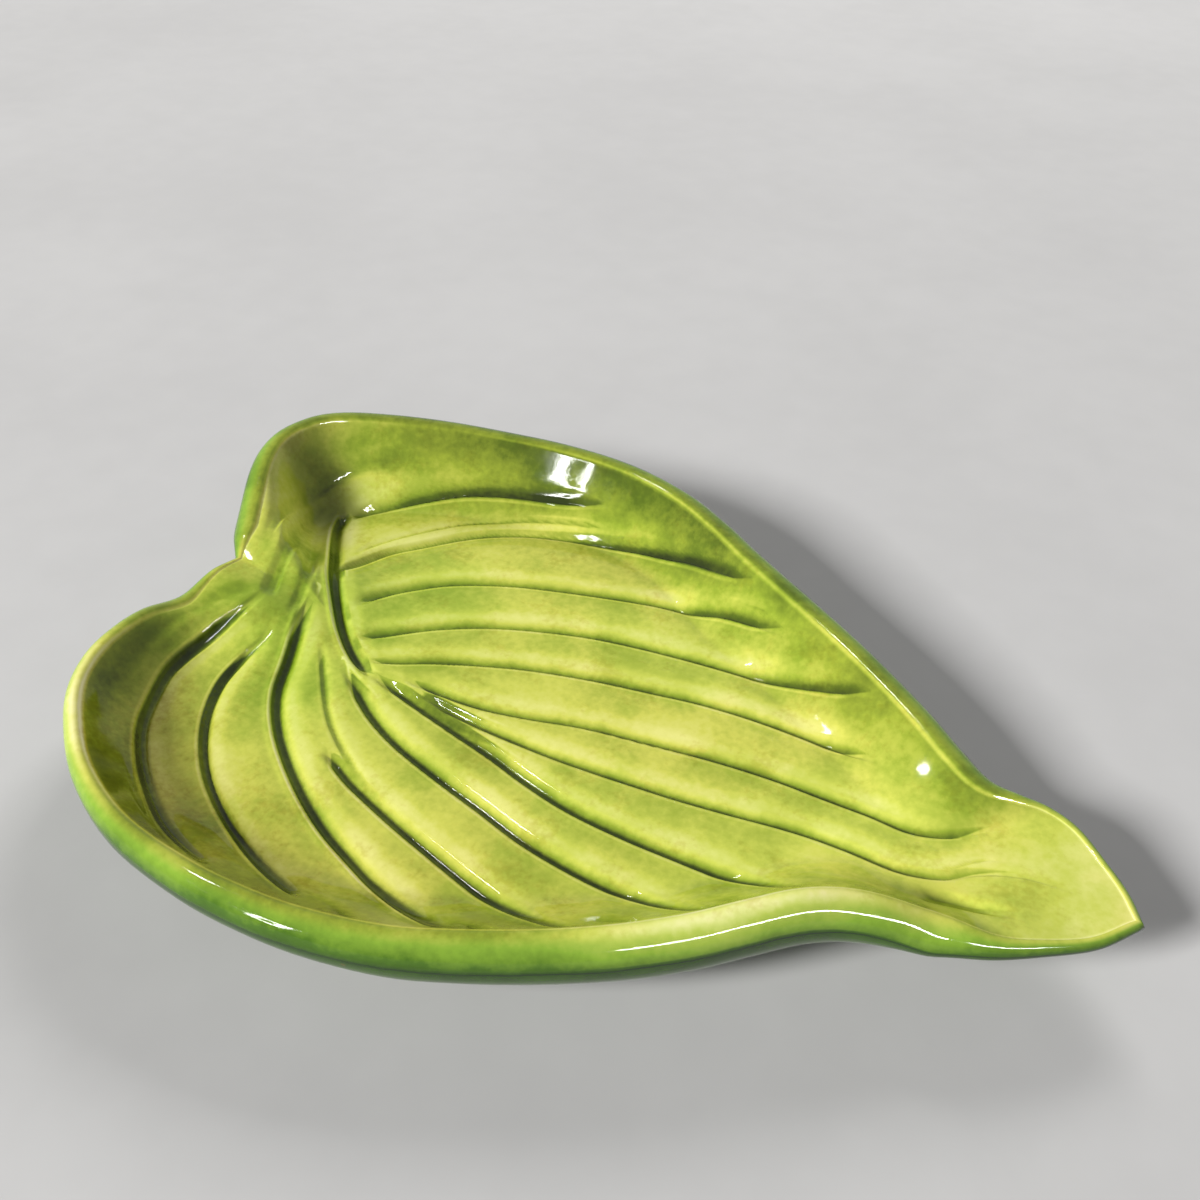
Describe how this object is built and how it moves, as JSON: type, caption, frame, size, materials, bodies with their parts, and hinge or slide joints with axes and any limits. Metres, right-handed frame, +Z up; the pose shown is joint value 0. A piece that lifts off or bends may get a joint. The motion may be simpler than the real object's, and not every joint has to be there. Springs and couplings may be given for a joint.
{
  "type": "trinket dish",
  "caption": "Shallow glazed dish shaped like a heart-shaped leaf, with vein grooves in its floor and a rolled rim, for rings, clips and other small things.",
  "frame": {"origin": "on the table, under the middle of the dish's bounding box", "axes": "+X along the leaf from the stem notch to the tip, +Y towards the taller lobe, +Z up"},
  "size_m": [0.1378, 0.0932, 0.0195],
  "materials": {
    "leaf_glaze": "leaf green glaze, high gloss, darker where it pools in the grooves and paler along edges",
    "pad_rubber": "clear soft rubber, satin"
  },
  "bodies": {
    "root": {"leaf_body": "leaf_glaze", "foot_pad_low_lobe": "pad_rubber", "foot_pad_tall_lobe": "pad_rubber", "foot_pad_tip": "pad_rubber"}
  },
  "joints": []
}
